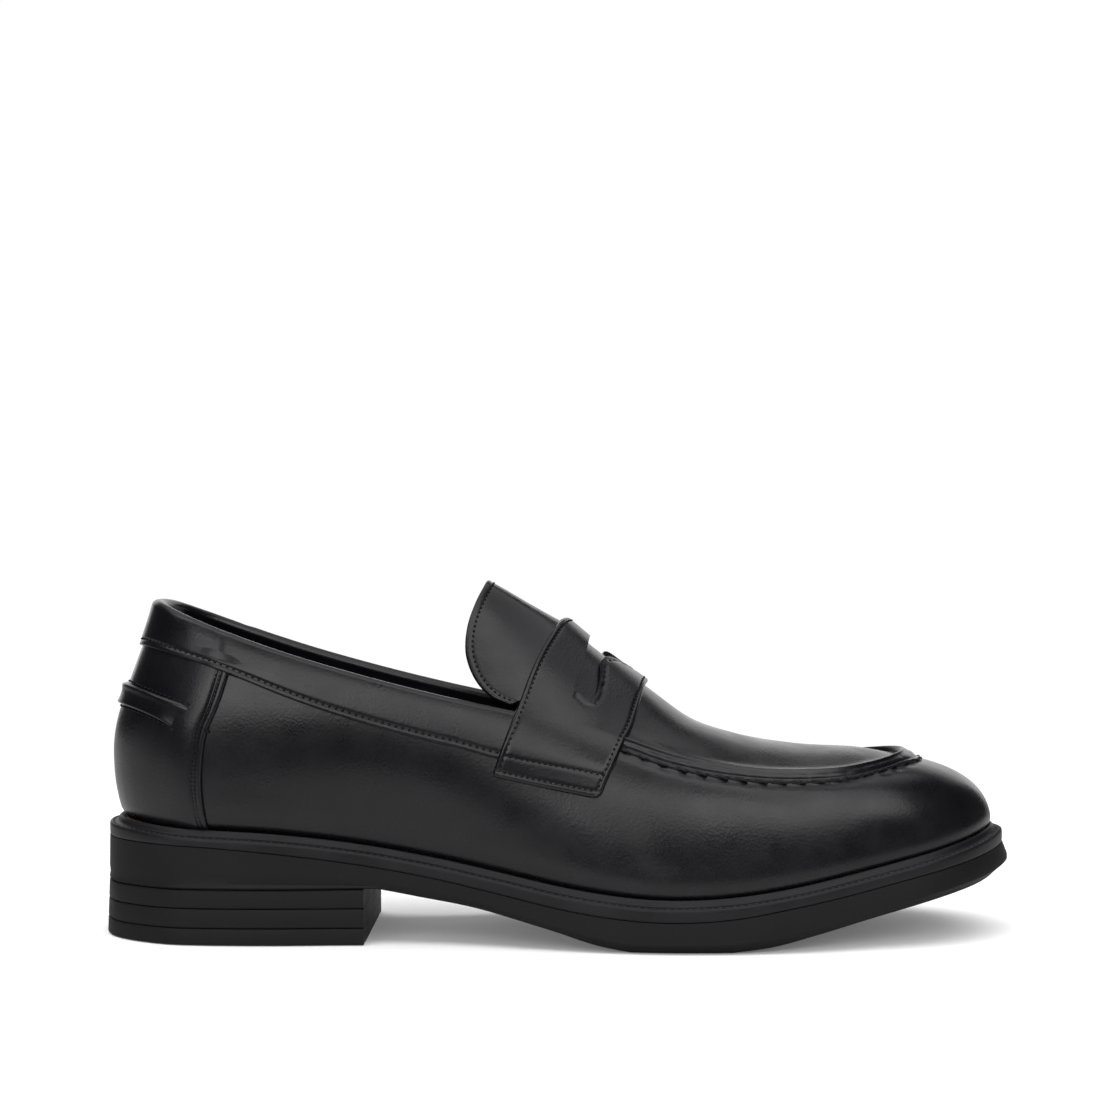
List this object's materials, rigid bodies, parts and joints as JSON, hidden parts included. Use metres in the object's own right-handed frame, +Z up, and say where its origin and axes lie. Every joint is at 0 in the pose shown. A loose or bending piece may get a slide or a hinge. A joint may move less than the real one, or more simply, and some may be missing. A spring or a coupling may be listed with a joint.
{
  "type": "penny loafer",
  "caption": "Black leather penny loafer with a hand-stitched apron, slotted saddle strap, stitched welt and rubber sole with a stacked heel.",
  "frame": {"origin": "on the ground under the middle of the outsole", "axes": "+X towards the toe, -Y towards the outer (lateral) side of this right shoe, +Z up"},
  "size_m": [0.3004, 0.1024, 0.1162],
  "materials": {
    "calf": "smooth black calf, semi-gloss",
    "lining_leather": "matte black lining leather",
    "rubber": "matte black moulded rubber",
    "welt": "satin black",
    "thread": "waxed black thread",
    "board": "fibre board",
    "cork": "cork compound",
    "foam": "latex foam",
    "steel": "bare steel"
  },
  "bodies": {
    "rearpart": {"apron_lining_rear": "lining_leather", "apron_piping_lateral": "calf", "apron_piping_medial": "calf", "apron_rear": "calf", "apron_thread_lateral": "thread", "apron_thread_medial": "thread", "collar_band": "calf", "collar_foam": "foam", "collar_thread": "thread", "filler_ball": "cork", "footbed_rear": "foam", "heel_counter": "board", "heel_cover": "calf", "heel_lift_lower": "rubber", "heel_lift_upper": "rubber", "heel_nail_1": "steel", "heel_nail_2": "steel", "heel_nail_3": "steel", "heel_nail_4": "steel", "heel_nail_5": "steel", "heel_roll": "calf", "heel_seam_thread_lateral": "thread", "heel_seam_thread_medial": "thread", "heel_seat_pad": "board", "heel_top_piece": "rubber", "insole_board_rear": "board", "lining_rear": "lining_leather", "outsole_rear": "rubber", "saddle_strap": "calf", "saddle_thread_front": "thread", "saddle_thread_lateral": "thread", "saddle_thread_medial": "thread", "saddle_thread_rear": "thread", "sock_liner_rear": "lining_leather", "steel_shank": "steel", "vamp_lateral": "calf", "vamp_medial": "calf", "welt_rear": "welt", "welt_thread_rear": "thread"},
    "forepart": {"apron_lining_toe": "lining_leather", "apron_piping_toe": "calf", "apron_thread_toe": "thread", "apron_toe": "calf", "filler_toe": "cork", "footbed_toe": "foam", "insole_board_toe": "board", "lining_toe": "lining_leather", "outsole_toe": "rubber", "sock_liner_toe": "lining_leather", "toe_puff": "board", "vamp_toe": "calf", "welt_thread_toe": "thread", "welt_toe": "welt"},
    "tongue": {"tongue": "calf", "tongue_lining": "lining_leather", "tongue_thread": "thread"}
  },
  "joints": [
    {"name": "ball_flex", "type": "hinge", "parent": "rearpart", "child": "forepart", "pos_m": [0.056, 0, 0.018], "axis": [0, -1, 0], "range_deg": [0, 30], "stiffness_Nm_per_rad": 1.5, "deforming": ["apron_lining_rear", "apron_lining_toe", "apron_piping_lateral", "apron_piping_medial", "apron_piping_toe", "apron_rear", "apron_thread_lateral", "apron_thread_medial", "apron_thread_toe", "apron_toe", "footbed_rear", "footbed_toe", "insole_board_rear", "insole_board_toe", "lining_rear", "lining_toe", "sock_liner_rear", "sock_liner_toe", "vamp_lateral", "vamp_medial", "vamp_toe"]},
    {"name": "tongue_flex", "type": "hinge", "parent": "rearpart", "child": "tongue", "pos_m": [0.0006, 0, 0.102], "axis": [0, 1, 0], "range_deg": [0, 20], "stiffness_Nm_per_rad": 0.15}
  ]
}
